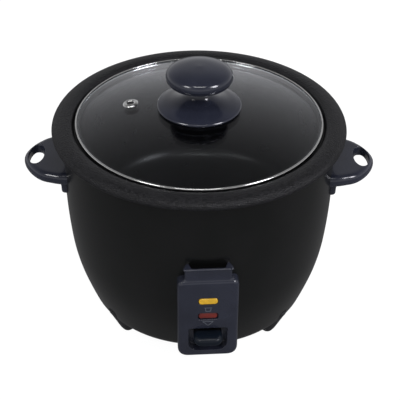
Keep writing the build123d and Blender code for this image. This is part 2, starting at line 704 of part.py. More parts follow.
# ---- feet, base plate and their screws --------------------------------------------------------
FOOT_NAMES = ("foot_rear_right", "foot_rear_left", "foot_front_left", "foot_front_right")
for angle, foot_name in zip(FOOT_ANGLES, FOOT_NAMES):
    with BuildPart() as foot:
        for height, far in ((0, FOOT_FAR_LOW), (FOOT_HEIGHT, FOOT_FAR_HIGH)):
            with BuildSketch(Plane.XY.offset(height)):
                with PolarLocations((FOOT_NEAR + far) / 2, 1, angle):
                    RectangleRounded(far - FOOT_NEAR, FOOT_WIDTH, FOOT_CORNER)
        loft()
        fillet(foot.faces().sort_by(Axis.Z)[0].edges(), 0.8)
        add(envelope.part, mode=Mode.SUBTRACT)
        with BuildSketch(Plane.XY):
            with PolarLocations(FOOT_SCREW_RADIUS, 1, angle):
                Circle(3.6)
        extrude(amount=6, mode=Mode.SUBTRACT)
        with BuildSketch(Plane.XY):
            with PolarLocations(FOOT_SCREW_RADIUS, 1, angle):
                Circle(2)
        extrude(amount=20, mode=Mode.SUBTRACT)
    foot.part.label = foot_name
    export_step(foot.part, f"parts/{foot_name}.step")

foot_spots = [(FOOT_SCREW_RADIUS * cos(radians(a)), FOOT_SCREW_RADIUS * sin(radians(a))) for a in FOOT_ANGLES]
foot_screws = flange_screws(foot_spots, 3.3, 1.9, Plane.XY.offset(6), 13)
foot_screws.part.label = "foot_screws"
export_step(foot_screws.part, "parts/foot_screws.step")

BASE_LOW = SHELL_LOW - BASE_SHEET
with BuildPart() as base_plate:
    with BuildSketch(Plane.XY.offset(BASE_LOW)):
        Circle(BASE_RADIUS)
        with PolarLocations(BASE_SCREW_RADIUS, 4, 0):
            Circle(1.8, mode=Mode.SUBTRACT)
        with PolarLocations(38, VENT_COUNT, 0):
            SlotOverall(24, 5, mode=Mode.SUBTRACT)
        # clearance for the feet, which reach in under the flange
        with Locations(*foot_spots):
            Circle(8.4, mode=Mode.SUBTRACT)
    extrude(amount=BASE_SHEET)
base_plate.part.label = "base_plate"
export_step(base_plate.part, "parts/base_plate.step")

base_spots = [(BASE_SCREW_RADIUS, 0), (0, BASE_SCREW_RADIUS), (-BASE_SCREW_RADIUS, 0), (0, -BASE_SCREW_RADIUS)]
base_screws = flange_screws(base_spots, 3.2, 1.6, Plane.XY.offset(BASE_LOW), 6)
base_screws.part.label = "base_screws"
export_step(base_screws.part, "parts/base_screws.step")

# ---- rear inlet -------------------------------------------------------------------------------
with BuildPart() as power_inlet:
    with BuildSketch(rear(INLET_FACE)):
        with Locations((0, INLET_Z)):
            RectangleRounded(2 * INLET_HALF[0], 2 * INLET_HALF[1], 4)
    extrude(amount=-40)
    fillet(power_inlet.faces().sort_by(Axis.Y)[-1].edges(), 1.2)
    with BuildSketch(rear(INLET_FACE - 17)):
        with Locations((0, INLET_Z)):
            RectangleRounded(44, 44, 6)
    extrude(amount=-30)
    add(envelope.part, mode=Mode.SUBTRACT)
    with BuildSketch(rear(INLET_FACE + 1)) as socket:
        with Locations((0, INLET_Z)):
            Rectangle(*SOCKET_SIZE)
        chamfer(socket.vertices().sort_by(Axis.Y)[-2:], 4)
    extrude(amount=-SOCKET_DEPTH - 1, mode=Mode.SUBTRACT)
    with BuildSketch(rear(INLET_FACE)):
        with Locations((-7, INLET_Z - 2), (7, INLET_Z - 2), (0, INLET_Z + 3)):
            Rectangle(2, 4)
        with Locations((0, INLET_Z + 16.5), (0, INLET_Z - 16.5)):
            Circle(1.5)
    extrude(amount=-60, mode=Mode.SUBTRACT)
power_inlet.part.label = "power_inlet"
export_step(power_inlet.part, "parts/power_inlet.step")

with BuildPart() as inlet_pins:
    with BuildSketch(rear(INLET_FACE - 7)):
        with Locations((-7, INLET_Z - 2), (7, INLET_Z - 2), (0, INLET_Z + 3)):
            Rectangle(2, 4)
    extrude(amount=-(INLET_FACE - 7 - 92))
inlet_pins.part.label = "inlet_pins"
export_step(inlet_pins.part, "parts/inlet_pins.step")

inlet_flange = Plane(origin=rearward * (INLET_FACE - 17), x_dir=(1, 0, 0), z_dir=(0, -1, 0))
inlet_screws = flange_screws([(0, INLET_Z + 16.5), (0, INLET_Z - 16.5)], 2.8, 1.5, inlet_flange, 16)
inlet_screws.part.label = "inlet_screws"
export_step(inlet_screws.part, "parts/inlet_screws.step")

# ---- wiring pieces ----------------------------------------------------------------------------
TERMINAL_Y = 62.0
TERMINAL_Z = SHELL_LOW
with BuildPart() as terminal_block:
    with BuildSketch(Plane.XY.offset(TERMINAL_Z)):
        with Locations((0, TERMINAL_Y - 12)):
            RectangleRounded(46, 16, 2)
    extrude(amount=14)
    with BuildSketch(Plane.XY.offset(TERMINAL_Z + 14)):
        with Locations((0, TERMINAL_Y - 12)):
            with GridLocations(11, 1, 4, 1):
                Circle(3)
    extrude(amount=-5, mode=Mode.SUBTRACT)
terminal_block.part.label = "terminal_block"
export_step(terminal_block.part, "parts/terminal_block.step")

with BuildPart() as terminal_screws:
    with BuildSketch(Plane.XY.offset(TERMINAL_Z + 9)):
        with Locations((0, TERMINAL_Y - 12)):
            with GridLocations(11, 1, 4, 1):
                Circle(2.6)
    extrude(amount=2.5)
terminal_screws.part.label = "terminal_screws"
export_step(terminal_screws.part, "parts/terminal_screws.step")

with BuildPart() as thermal_fuse:
    with BuildSketch(Plane.YZ.offset(-46)):
        with Locations((-10, BOWL_LOW - 3.2)):
            Circle(3)
    extrude(amount=20)
    with BuildSketch(Plane.YZ.offset(-42)):
        with Locations((-10, BOWL_LOW - 1.7)):
            Rectangle(10, 3.2)
    extrude(amount=6)
thermal_fuse.part.label = "thermal_fuse"
export_step(thermal_fuse.part, "parts/thermal_fuse.step")

# ---- lid --------------------------------------------------------------------------------------
RING_LOW = POT_RIM_TOP + REST_GAP
with BuildPart() as lid_glass:
    edge_low = RING_LOW + 0.6
    inside_reach = sqrt((DOME_RADIUS - GLASS) ** 2 - (edge_low - DOME_TOP + DOME_RADIUS) ** 2)
    half_way = GLASS_EDGE / 2
    with BuildSketch(Plane.XZ):
        with BuildLine():
            ThreePointArc((0, DOME_TOP), (half_way, glass_height(half_way)), (GLASS_EDGE, glass_height(GLASS_EDGE)))
            Polyline((GLASS_EDGE, glass_height(GLASS_EDGE)), (GLASS_EDGE, edge_low), (inside_reach, edge_low))
            ThreePointArc((inside_reach, edge_low), (half_way, glass_height(half_way, True)), (0, DOME_TOP - GLASS))
            Line((0, DOME_TOP - GLASS), (0, DOME_TOP))
        make_face()
    revolve(axis=Axis.Z)
    with BuildSketch(Plane.XY.offset(DOME_TOP - 20)):
        Circle(3.2)
    extrude(amount=30, mode=Mode.SUBTRACT)
    vent_reach = sqrt(VENT_X**2 + VENT_Y**2)
    vent_top = glass_height(vent_reach)
    vent_normal = (VENT_X, VENT_Y, vent_top - DOME_TOP + DOME_RADIUS)
    vent_plane = Plane(origin=(VENT_X, VENT_Y, vent_top), z_dir=vent_normal)
    with BuildSketch(vent_plane.offset(-10)):
        Circle(4.4)
    extrude(amount=20, mode=Mode.SUBTRACT)
lid_glass.part.label = "lid_glass"
export_step(lid_glass.part, "parts/lid_glass.step")

with BuildPart() as vent_grommet:
    with BuildSketch(vent_plane.offset(0.05)):
        Circle(VENT_FLANGE)
    extrude(amount=0.9)
    fillet(vent_grommet.faces().sort_by(Axis(vent_plane.origin, vent_plane.z_dir))[-1].edges(), 0.5)
    with BuildSketch(vent_plane.offset(0.5)):
        Circle(4.2)
    extrude(amount=-GLASS - 1.6)
    with BuildSketch(vent_plane.offset(-GLASS - 0.1)):
        Circle(5.6)
    extrude(amount=-1)
    with BuildSketch(vent_plane.offset(5)):
        Circle(VENT_HOLE)
    extrude(amount=-20, mode=Mode.SUBTRACT)
vent_grommet.part.label = "vent_grommet"
export_step(vent_grommet.part, "parts/vent_grommet.step")

CLEAR = 0.03                    # fitting clearance between ring and glass
with BuildPart() as lid_ring:
    with BuildSketch(Plane.XZ):
        with BuildLine():
            Polyline((97.6, RING_LOW), (RING_OUTER, RING_LOW), (RING_OUTER, 181.2))
            bead = ThreePointArc((RING_OUTER, 181.2), (100.7, 181.95), (99.8, 182.1))
            Polyline(bead @ 1, (98.8, 181.95), (98.6, glass_height(98.6) + CLEAR),
                     (GLASS_EDGE + CLEAR, glass_height(GLASS_EDGE) + 2 * CLEAR),
                     (GLASS_EDGE + CLEAR, edge_low - CLEAR), (97.6, edge_low - CLEAR), (97.6, RING_LOW))
        make_face()
    revolve(axis=Axis.Z)
lid_ring.part.label = "lid_ring"
export_step(lid_ring.part, "parts/lid_ring.step")

with BuildPart() as knob_base:
    rim_height = glass_height(KNOB_BASE_RADIUS)
    with BuildSketch(Plane.XZ):
        with BuildLine():
            foot_line = ThreePointArc((3.2, glass_height(3.2) + CLEAR), (18, glass_height(18) + CLEAR),
                                      (33.2, glass_height(33.2) + CLEAR))
            flange = ThreePointArc(foot_line @ 1, (KNOB_BASE_RADIUS + 0.3, rim_height + 1.5), (33.4, rim_height + 3.0))
            flare = Spline(flange @ 1, (26.0, 198.0), (16.0, 201.6), (10.4, 207.4), (9.6, KNOB_JOIN),
                           tangents=((-1, 0.25), (0, 1)))
            Polyline(flare @ 1, (3.2, KNOB_JOIN), foot_line @ 0)
        make_face()
    revolve(axis=Axis.Z)
knob_base.part.label = "knob_base"
export_step(knob_base.part, "parts/knob_base.step")

with BuildPart() as knob_cap:
    with BuildSketch(Plane.XZ):
        with BuildLine():
            Line((0, KNOB_JOIN), (10.6, KNOB_JOIN))
            under = Spline((10.6, KNOB_JOIN), (17.0, 213.9), (24.6, 215.9), tangents=((1, 0), (1, 0.6)))
            brim = Spline(under @ 1, (KNOB_RADIUS, 219.9), (26.2, 223.2), (23.4, 225.8), tangents=(under % 1, (-1, 0.5)))
            crown_line = Spline(brim @ 1, (12.0, 228.6), (0, KNOB_TOP), tangents=(brim % 1, (-1, 0)))
            Line((0, KNOB_TOP), (0, KNOB_JOIN))
        make_face()
    revolve(axis=Axis.Z)
    with BuildSketch(Plane.XY.offset(KNOB_JOIN)):
        Circle(KNOB_BORE)
    extrude(amount=8, mode=Mode.SUBTRACT)
knob_cap.part.label = "knob_cap"
export_step(knob_cap.part, "parts/knob_cap.step")

WASHER_TOP = glass_height(14, True) - 0.05
with BuildPart() as knob_washer:
    with BuildSketch(Plane.XY.offset(WASHER_TOP - 1.2)):
        Circle(14)
        Circle(2.7, mode=Mode.SUBTRACT)
    extrude(amount=1.2)
knob_washer.part.label = "knob_washer"
export_step(knob_washer.part, "parts/knob_washer.step")

with BuildPart() as knob_screw:
    with BuildSketch(Plane.XY.offset(WASHER_TOP - 1.2)):
        Circle(5)
    extrude(amount=-2.8)
    fillet(knob_screw.faces().sort_by(Axis.Z)[0].edges(), 1.2)
    with BuildSketch(Plane.XY.offset(WASHER_TOP - 1.2)):
        Circle(KNOB_BORE)
    extrude(amount=KNOB_JOIN + 7.5 - WASHER_TOP + 1.2)
knob_screw.part.label = "knob_screw"
export_step(knob_screw.part, "parts/knob_screw.step")
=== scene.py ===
"""Looks of the rice cooker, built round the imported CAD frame. Sizes are in millimetres until MM."""

import json
from math import asin, atan2, cos, hypot, pi, radians, sin, sqrt

import bmesh
import bpy
from mathutils import Matrix, Vector


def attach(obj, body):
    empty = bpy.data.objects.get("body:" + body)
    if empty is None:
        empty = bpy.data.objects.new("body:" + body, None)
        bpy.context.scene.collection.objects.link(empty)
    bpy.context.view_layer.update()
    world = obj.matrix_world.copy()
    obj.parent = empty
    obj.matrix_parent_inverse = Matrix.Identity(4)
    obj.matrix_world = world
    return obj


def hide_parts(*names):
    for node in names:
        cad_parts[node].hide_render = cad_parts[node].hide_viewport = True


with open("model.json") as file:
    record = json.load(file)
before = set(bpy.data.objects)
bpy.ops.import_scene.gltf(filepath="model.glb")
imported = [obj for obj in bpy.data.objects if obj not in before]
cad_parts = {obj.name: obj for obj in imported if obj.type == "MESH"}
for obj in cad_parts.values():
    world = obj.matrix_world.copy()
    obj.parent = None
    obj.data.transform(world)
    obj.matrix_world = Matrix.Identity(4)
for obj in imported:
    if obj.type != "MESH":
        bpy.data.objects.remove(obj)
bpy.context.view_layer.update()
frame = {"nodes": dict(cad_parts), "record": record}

MM = 0.001
AROUND = 256                    # segments round a lathed piece
TURN = radians(4)               # the panel's turn about the pot's axis


# ---- profiles and loops ------------------------------------------------------------------------
def rounded(corners, steps=6):
    """A polyline whose corners (x, y, radius) are replaced by arcs."""
    points = []
    count = len(corners)
    for i, (x, y, radius) in enumerate(corners):
        here = Vector((x, y))
        before = Vector(corners[i - 1][:2]) - here
        after = Vector(corners[(i + 1) % count][:2]) - here
        if radius <= 0:
            points.append((x, y))
            continue
        turn = before.angle(after)
        wanted = radius / max(1e-6, abs(sin(turn / 2) / cos(turn / 2)))
        reach = min(wanted, before.length * 0.49, after.length * 0.49)
        start = here + before.normalized() * reach
        end = here + after.normalized() * reach
        for step in range(steps + 1):
            t = step / steps
            point = start * (1 - t) ** 2 + here * 2 * t * (1 - t) + end * t**2
            points.append((point.x, point.y))
    return points


def through(points, per=8, closed=False):
    """A smooth line through the given points (Catmull-Rom)."""
    count = len(points)
    line = []
    last = count if closed else count - 1
    for i in range(last):
        p1, p2 = Vector(points[i]), Vector(points[(i + 1) % count])
        p0 = Vector(points[i - 1]) if closed or i else p1 * 2 - p2
        p3 = Vector(points[(i + 2) % count]) if closed or i + 2 < count else p2 * 2 - p1
        for step in range(per):
            t = step / per
            line.append(tuple(0.5 * (2 * p1 + (p2 - p0) * t + (2 * p0 - 5 * p1 + 4 * p2 - p3) * t**2
                                     + (3 * p1 - p0 - 3 * p2 + p3) * t**3)))
    if not closed:
        line.append(tuple(points[-1]))
    return line


def tangent_arc(start, heading, end, steps=14):
    """Points of the arc that leaves start along heading and passes through end, and its last heading."""
    start, end, heading = Vector(start), Vector(end), Vector(heading).normalized()
    chord = end - start
    half = atan2(heading.x * chord.y - heading.y * chord.x, heading.dot(chord))
    points = []
    for step in range(steps + 1):
        t = step / steps
        if abs(half) < 1e-5:
            points.append(start + chord * t)
            continue
        radius = chord.length / (2 * sin(half))
        angle = 2 * half * t
        normal = Vector((-heading.y, heading.x))
        points.append(start + heading * radius * sin(angle) + normal * radius * (1 - cos(angle)))
    turn = Matrix.Rotation(2 * half, 2)
    return [tuple(p) for p in points], turn @ heading


def rounded_rect(half_width, half_height, radius, steps=6, middle=(0, 0)):
    """Outline of a rounded rectangle, counter-clockwise."""
    cx, cy = middle
    points = []
    for sx, sy, begin in ((1, 1, 0), (-1, 1, 90), (-1, -1, 180), (1, -1, 270)):
        for step in range(steps + 1):
            angle = radians(begin + 90 * step / steps)
            points.append((cx + sx * (half_width - radius) + radius * cos(angle),
                           cy + sy * (half_height - radius) + radius * sin(angle)))
    return points


# ---- meshes ------------------------------------------------------------------------------------
def make(name, verts, faces, material, body, replaces=(), slot=None, smooth=True):
    """A mesh object in metres that rides on a body and stands for CAD nodes."""
    mesh = bpy.data.meshes.new(name)
    mesh.from_pydata([tuple(c * MM for c in v) for v in verts], [], faces)
    mesh.validate()
    tidy = bmesh.new()
    tidy.from_mesh(mesh)
    bmesh.ops.recalc_face_normals(tidy, faces=tidy.faces)
    tidy.to_mesh(mesh)
    tidy.free()
    for face in mesh.polygons:
        face.use_smooth = smooth
    piece = bpy.data.objects.new(name, mesh)
    bpy.context.collection.objects.link(piece)
    mesh.materials.append(material)
    declare(piece, body, replaces)
    return piece


def declare(piece, body, replaces):
    """Tell the frame which body a piece rides on, which nodes it stands for."""
    if body is None:
        return
    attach(piece, body)
    if replaces:
        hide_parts(*replaces)


def lathe_mesh(profile, closed=True, steps=AROUND):
    """Vertices and faces of a profile of (radius, height) turned about Z."""
    verts = []
    rings = []
    for radius, height in profile:
        if radius < 1e-4:
            rings.append([len(verts)])
            verts.append((0, 0, height))
            continue
        ring = []
        for step in range(steps):
            angle = 2 * pi * step / steps
            ring.append(len(verts))
            verts.append((radius * cos(angle), radius * sin(angle), height))
        rings.append(ring)
    faces = []
    last = len(rings) if closed else len(rings) - 1
    for i in range(last):
        a, b = rings[i], rings[(i + 1) % len(rings)]
        if len(a) == 1 and len(b) == 1:
            continue
        for step in range(steps):
            after = (step + 1) % steps
            if len(a) == 1:
                faces.append((a[0], b[after], b[step]))
            elif len(b) == 1:
                faces.append((a[step], a[after], b[0]))
            else:
                faces.append((a[step], a[after], b[after], b[step]))
    return verts, faces


def lathe(name, profile, material, body, replaces=(), slot=None, closed=True, steps=AROUND):
    verts, faces = lathe_mesh(profile, closed, steps)
    return make(name, verts, faces, material, body, replaces, slot)


def loft_mesh(loops, capped=True):
    """Skin a list of closed loops of 3-D points, all with the same number of points."""
    verts = [point for loop in loops for point in loop]
    size = len(loops[0])
    faces = []
    for i in range(len(loops) - 1):
        for j in range(size):
            after = (j + 1) % size
            faces.append((i * size + j, i * size + after, (i + 1) * size + after, (i + 1) * size + j))
    if capped:
        faces.append(tuple(range(size)))
        faces.append(tuple(range(len(verts) - size, len(verts))))
    return verts, faces


def out_from_panel(u, v, z):
    """A point given across, out from the axis and up, in the panel's turned frame."""
    return (u * cos(TURN) + v * sin(TURN), u * sin(TURN) - v * cos(TURN), z)


def carve(piece, cutter, operation="DIFFERENCE"):
    """Apply a boolean with a helper object, then remove the helper."""
    modifier = piece.modifiers.new("carve", "BOOLEAN")
    modifier.operation = operation
    modifier.object = cutter
    modifier.solver = "EXACT"
    apply_modifiers(piece)
    bpy.data.objects.remove(cutter)


def apply_modifiers(piece):
    """Replace a piece's mesh with its evaluated mesh."""
    view = bpy.context.view_layer
    view.update()
    done = bpy.data.meshes.new_from_object(piece.evaluated_get(bpy.context.evaluated_depsgraph_get()))
    piece.modifiers.clear()
    piece.data = done


def soften(piece, width, segments=3, angle=40):
    """Round a piece's sharp edges with a narrow bevel."""
    bevel = piece.modifiers.new("soften", "BEVEL")
    bevel.width = width * MM
    bevel.segments = segments
    bevel.limit_method = "ANGLE"
    bevel.angle_limit = radians(angle)
    bevel.harden_normals = True
    apply_modifiers(piece)
    for face in piece.data.polygons:
        face.use_smooth = True


# ---- materials ---------------------------------------------------------------------------------
def shades(colour, darker, lighter):
    """Stops of a ramp between a darker and a lighter shade of a colour."""
    return [(0.3, tuple(c * darker for c in colour)), (0.7, tuple(min(1, c * lighter) for c in colour))]


class Paint:
    """A principled material with helpers for procedural colour, roughness and bump."""

    def __init__(self, name, colour, roughness, **sockets):
        self.material = bpy.data.materials.new(name)
        self.material.use_nodes = True
        self.tree = self.material.node_tree
        self.shader = self.tree.nodes["Principled BSDF"]
        self.shader.inputs["Base Color"].default_value = (*colour, 1)
        self.shader.inputs["Roughness"].default_value = roughness
        for socket, value in sockets.items():
            self.shader.inputs[socket.replace("_", " ")].default_value = value
        self.place = self.tree.nodes.new("ShaderNodeTexCoord").outputs["Object"]

    def node(self, kind, **values):
        made = self.tree.nodes.new(kind)
        for key, value in values.items():
            if key in made.inputs:
                made.inputs[key].default_value = value
            else:
                setattr(made, key, value)
        return made

    def noise(self, scale, detail=3.0, stretch=None):
        texture = self.node("ShaderNodeTexNoise")
        texture.inputs["Scale"].default_value = scale
        texture.inputs["Detail"].default_value = detail
        place = self.place
        if stretch:
            mapping = self.node("ShaderNodeMapping")
            mapping.inputs["Scale"].default_value = stretch
            self.tree.links.new(place, mapping.inputs["Vector"])
            place = mapping.outputs["Vector"]
        self.tree.links.new(place, texture.inputs["Vector"])
        return texture.outputs["Fac"]

    def ramp(self, value, stops):
        ramp = self.node("ShaderNodeValToRGB")
        elements = ramp.color_ramp.elements
        while len(elements) < len(stops):
            elements.new(0.5)
        for element, (position, colour) in zip(elements, stops):
            element.position = position
            element.color = (*colour, 1) if len(colour) == 3 else colour
        self.tree.links.new(value, ramp.inputs["Fac"])
        return ramp.outputs["Color"]

    def remap(self, value, low, high, new_low, new_high):
        remap = self.node("ShaderNodeMapRange")
        limits = {"From Min": low, "From Max": high, "To Min": new_low, "To Max": new_high}
        for socket, number in limits.items():
            remap.inputs[socket].default_value = number
        self.tree.links.new(value, remap.inputs["Value"])
        return remap.outputs["Result"]

    def link(self, value, socket):
        self.tree.links.new(value, self.shader.inputs[socket])

    def bump(self, height, strength, distance):
        before = self.shader.inputs["Normal"].links
        bump = self.node("ShaderNodeBump")
        bump.inputs["Strength"].default_value = strength
        bump.inputs["Distance"].default_value = distance
        self.tree.links.new(height, bump.inputs["Height"])
        if before:
            self.tree.links.new(before[0].from_socket, bump.inputs["Normal"])
        self.tree.links.new(bump.outputs["Normal"], self.shader.inputs["Normal"])


def enamel():
    """Satin black enamel on the drawn shell, with a faint orange peel."""
    paint = Paint("shell_black", (0.004, 0.004, 0.004), 0.22, Specular_IOR_Level=0.5)
    patch = paint.noise(28)
    stops = [(0.3, (0.0034, 0.0038, 0.0036)), (0.7, (0.0048, 0.0048, 0.005))]
    paint.link(paint.ramp(patch, stops), "Base Color")
    paint.link(paint.remap(patch, 0.3, 0.7, 0.2, 0.27), "Roughness")
    paint.bump(paint.noise(900, 2), 0.12, 0.00006)
    return paint.material


def pebbled():
    """Charcoal coating with a fine pebbled texture."""
    paint = Paint("rim_coating", (0.006, 0.006, 0.007), 0.36, Specular_IOR_Level=0.22)
    grains = paint.node("ShaderNodeTexVoronoi")
    grains.inputs["Scale"].default_value = 900
    paint.tree.links.new(paint.place, grains.inputs["Vector"])
    patch = paint.noise(420, 4)
    stops = [(0.25, (0.003, 0.003, 0.0034)), (0.75, (0.014, 0.014, 0.016))]
    paint.link(paint.ramp(patch, stops), "Base Color")
    paint.link(paint.remap(patch, 0.3, 0.7, 0.3, 0.44), "Roughness")
    paint.bump(grains.outputs["Distance"], 0.8, 0.0005)
    paint.bump(paint.noise(1500, 3), 0.4, 0.0002)
    return paint.material


def moulded(name, colour, roughness=0.16):
    """Glossy injection-moulded plastic with a barely uneven skin."""
    paint = Paint(name, colour, roughness, Specular_IOR_Level=0.5, Coat_Weight=0.4, Coat_Roughness=0.06)
    patch = paint.noise(40, 2)
    paint.link(paint.ramp(patch, shades(colour, 0.85, 1.18)), "Base Color")
    paint.link(paint.remap(patch, 0.3, 0.7, roughness * 0.8, roughness * 1.25), "Roughness")
    paint.bump(paint.noise(260, 2), 0.05, 0.00006)
    return paint.material


def matte(name, colour, roughness=0.6, grain=1600):
    """Matte plastic or rubber with a fine moulded grain."""
    paint = Paint(name, colour, roughness)
    patch = paint.noise(60, 3)
    paint.link(paint.ramp(patch, shades(colour, 0.8, 1.2)), "Base Color")
    paint.bump(paint.noise(grain, 2), 0.25, 0.00008)
    return paint.material


def non_stick():
    """Black non-stick coating that shines softly."""
    paint = Paint("pot_coating", (0.0025, 0.0025, 0.003), 0.3, Specular_IOR_Level=0.22)
    paint.link(paint.remap(paint.noise(60), 0.3, 0.7, 0.27, 0.34), "Roughness")
    paint.bump(paint.noise(900, 2), 0.1, 0.00005)
    return paint.material


def metal(name, colour, roughness, stretch=(40, 40, 900), streak=0.08):
    """Metal with drawn or turned streaks."""
    paint = Paint(name, colour, roughness, Metallic=1.0)
    streaks = paint.noise(1, 3, stretch)
    paint.link(paint.remap(streaks, 0.3, 0.7, max(0.02, roughness - streak), roughness + streak), "Roughness")
    paint.link(paint.ramp(streaks, shades(colour, 0.9, 1.06)), "Base Color")
    paint.bump(streaks, 0.06, 0.00004)
    return paint.material


def clear_lid():
    """Tempered glass seen as a clear film that reflects more at a slant."""
    material = bpy.data.materials.new("lid_glass")
    material.use_nodes = True
    tree = material.node_tree
    tree.nodes.clear()
    output = tree.nodes.new("ShaderNodeOutputMaterial")
    clear = tree.nodes.new("ShaderNodeBsdfTransparent")
    clear.inputs["Color"].default_value = (0.9, 0.915, 0.92, 1)
    gloss = tree.nodes.new("ShaderNodeBsdfGlossy")
    gloss.inputs["Roughness"].default_value = 0.012
    gloss.inputs["Color"].default_value = (0.97, 0.97, 1.0, 1)
    slant = tree.nodes.new("ShaderNodeLayerWeight")
    slant.inputs["Blend"].default_value = 0.5
    steep = tree.nodes.new("ShaderNodeMath")
    steep.operation = "POWER"
    steep.inputs[1].default_value = 4.0
    share = tree.nodes.new("ShaderNodeMapRange")
    share.inputs["To Min"].default_value = 0.045
    mix = tree.nodes.new("ShaderNodeMixShader")
    tree.links.new(slant.outputs["Facing"], steep.inputs[0])
    tree.links.new(steep.outputs["Value"], share.inputs["Value"])
    tree.links.new(share.outputs["Result"], mix.inputs["Fac"])
    tree.links.new(clear.outputs["BSDF"], mix.inputs[1])
    tree.links.new(gloss.outputs["BSDF"], mix.inputs[2])
    tree.links.new(mix.outputs["Shader"], output.inputs["Surface"])
    return material


def lens_paint(name, colour):
    """Tinted lamp window with a soft mottled depth."""
    paint = Paint(name, colour, 0.18, Coat_Weight=0.6, Coat_Roughness=0.05)
    patch = paint.noise(150, 2)
    paint.link(paint.ramp(patch, shades(colour, 0.75, 1.3)), "Base Color")
    return paint.material


NAVY = (0.0165, 0.0185, 0.0295)
enamel_black = enamel()
coating = pebbled()
navy = moulded("navy_gloss", NAVY)
tab_navy = Paint("tab_plastic", (0.0035, 0.006, 0.011), 0.34, Specular_IOR_Level=0.3).material
# near-black matte paint, used only for the painted shade on the neck's top
painted_shade_black = Paint("painted_shade_black", (0.0008, 0.0008, 0.0008), 0.8, Specular_IOR_Level=0.05).material
foot_black = matte("foot_plastic", (0.012, 0.012, 0.014))
base_black = matte("base_black", (0.012, 0.012, 0.013))
rubber = matte("washer_rubber", (0.012, 0.012, 0.012), 0.7)
ceramic = matte("terminal_plastic", (0.62, 0.6, 0.55), 0.5)
laminate = matte("board", (0.12, 0.07, 0.02), 0.5)
lamp_glass = moulded("lamp_glass", (0.6, 0.55, 0.45), 0.1)
pot_coat = non_stick()
ring_steel = metal("ring_steel", (0.8, 0.8, 0.79), 0.12, (30, 30, 30), 0.04)
zinc = metal("screw_steel", (0.6, 0.6, 0.6), 0.3)
mill = metal("bowl_metal", (0.66, 0.66, 0.67), 0.34, (30, 30, 700))
cast = metal("cast_plate", (0.7, 0.7, 0.71), 0.38, (300, 300, 300))
dull = metal("element_steel", (0.4, 0.38, 0.36), 0.45)
spring = metal("spring_steel", (0.5, 0.5, 0.52), 0.3)
sinter = metal("ferrite", (0.12, 0.12, 0.12), 0.6)
brass = metal("brass_pins", (0.75, 0.6, 0.32), 0.22)
amber = lens_paint("amber_lens", (0.62, 0.36, 0.02))
red = lens_paint("red_lens", (0.14, 0.016, 0.012))
print_grey = matte("print_grey", (0.09, 0.1, 0.12), 0.5)
glass = clear_lid()

MATERIAL_OF_SLOT = {
    "shell_black": enamel_black, "rim_coating": coating, "bowl_metal": mill, "base_black": base_black,
    "foot_plastic": foot_black, "screw_steel": zinc, "navy_gloss": navy, "tab_plastic": tab_navy,
    "amber_lens": amber, "red_lens": red, "board": laminate, "lamp_glass": lamp_glass, "cast_plate": cast,
    "element_steel": dull, "ferrite": sinter, "spring_steel": spring, "brass_pins": brass,
    "terminal_plastic": ceramic, "pot_coating": pot_coat, "lid_glass": glass, "ring_steel": ring_steel,
    "washer_rubber": rubber,
}
for entry in frame["record"]["subparts"]:
    node = frame["nodes"][entry["node"]]
    for index in range(max(1, len(node.data.materials))):
        if index < len(node.data.materials):
            node.data.materials[index] = MATERIAL_OF_SLOT[entry["material_slot"]]
        else:
            node.data.materials.append(MATERIAL_OF_SLOT[entry["material_slot"]])


def paint_shade(piece, hidden, material=rubber):
    """Paint a piece's shaded faces dark with a second material, the rubber by default, as painted shade."""
    piece.data.materials.append(material)
    for face in piece.data.polygons:
        if hidden(face.center):
            face.material_index = 1


# ---- shell -------------------------------------------------------------------------------------
SHELL_TOP, SHELL_LOW = 177.6, 10.3
WALL = [(109.8, SHELL_TOP), (109.7, 77.8), (102.6, 42.5), (95.6, 21.6), (78.0, SHELL_LOW)]
WALL_LEAN = radians(5.5)


def wall_profile():
    heading = Vector((sin(WALL_LEAN), -cos(WALL_LEAN)))
    points = [WALL[0]]
    for start, end in zip(WALL, WALL[1:]):
        arc, heading = tangent_arc(start, heading, end)
        points.extend(arc[1:])
    return points


wall = wall_profile()
SHEET = 1.2
inner_wall = [(max(64.0, r - SHEET), z + (SHEET if z < 20 else 0)) for r, z in reversed(wall)]
lathe("shell_skin", wall + [(64.0, SHELL_LOW), (64.0, SHELL_LOW + SHEET)] + inner_wall, enamel_black,
              "body", ["outer_shell"], "shell_black")

# ---- collar ------------------------------------------------------------------------------------
crown = through([(103.5, 180.6), (104.3, 181.4), (106.6, 182.2), (109.8, 182.5), (113.4, 182.2),
                 (116.6, 181.3), (118.9, 179.9), (119.95, 178.3)], 6)
lip = through([(119.95, 178.3), (120.15, 177.2), (119.6, 176.1), (118.5, 175.6), (117.4, 176.0)], 5)
collar = crown + lip[1:] + [(116.0, 176.9), (112.4, 178.2), (111.0, 178.2), (110.4, 177.7), (107.2, 177.7),
                            (106.2, 174.8), (100.4, 174.8), (100.4, 176.0), (100.6, 176.2), (103.2, 176.2),
                            (103.5, 176.5)]
lathe("rim_collar", collar, coating, "body", ["top_rim"], "rim_coating")

# ---- pot ---------------------------------------------------------------------------------------
pot_line = rounded([(0, 80, 0), (98.5, 80, 24), (98.5, 176.5, 1.2), (102.5, 176.5, 0.5), (102.5, 178, 0.6),
                    (97.0, 178, 0.8), (97.0, 81.5, 22.5), (0, 81.5, 0)], 12)
lathe("pot_wall", pot_line, pot_coat, "pot", ["inner_pot"], "pot_coating", closed=False)

# ---- lid ---------------------------------------------------------------------------------------
DOME, DOME_TOP, GLASS = 379.0, 194.5, 3.2


def dome_height(radius, sphere=DOME):
    return DOME_TOP - DOME + sqrt(sphere**2 - radius**2)


BORE = 3.2
GLASS_RADIUS, INNER_RADIUS = 100.2, 95.5


def dome_line(rim, sphere):
    """Evenly spaced points (radius, height) from the knob's bore out to the rim."""
    count = 60
    radii = [BORE + (rim - BORE) * i / count for i in range(count + 1)]
    return [(radius, dome_height(radius, sphere)) for radius in radii]


